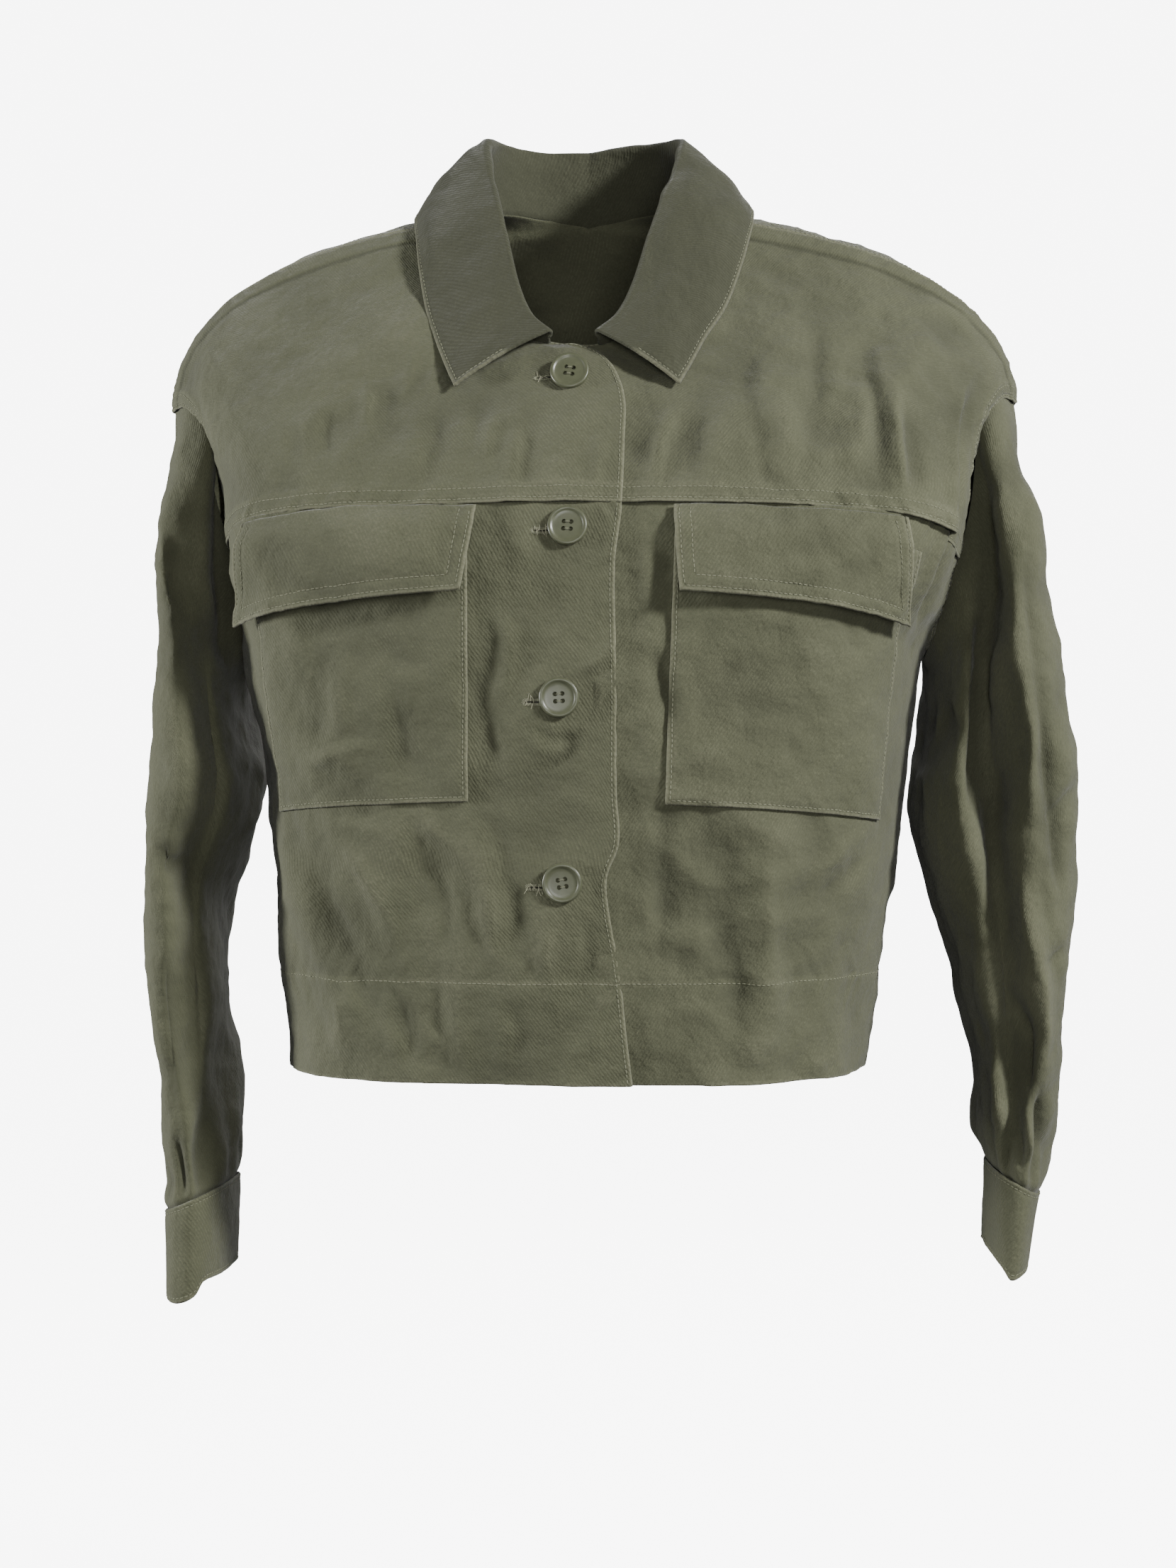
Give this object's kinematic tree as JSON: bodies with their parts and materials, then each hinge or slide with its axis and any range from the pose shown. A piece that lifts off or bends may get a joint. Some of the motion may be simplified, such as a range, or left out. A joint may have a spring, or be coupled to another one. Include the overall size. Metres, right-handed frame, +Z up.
{
  "type": "cropped jacket",
  "caption": "Cropped olive cotton twill utility jacket in its hollow worn form, with a pointed collar, front yokes, flapped chest pockets, a button front and long cuffed sleeves.",
  "frame": {"origin": "where the wearer's neck and shoulders carry the jacket: on its middle plane, at the height of the neck's side points, in the middle of the neck opening", "axes": "+Z up, -Y out of the buttoned front, +X towards the wearer's left sleeve"},
  "size_m": [0.5541, 0.2562, 0.7055],
  "materials": {
    "twill": "matt cotton twill",
    "button": "satin moulded plastic"
  },
  "bodies": {
    "root": {"back": "twill", "front_right": "twill", "front_yoke_right": "twill", "pocket_right": "twill", "flap_right": "twill", "sleeve_right": "twill", "cuff_right": "twill", "front_left": "twill", "front_yoke_left": "twill", "pocket_left": "twill", "flap_left": "twill", "sleeve_left": "twill", "cuff_left": "twill", "collar": "twill", "cuff_button_right": "button", "cuff_button_left": "button", "button_1": "button", "button_2": "button", "button_3": "button", "button_4": "button"}
  },
  "joints": []
}
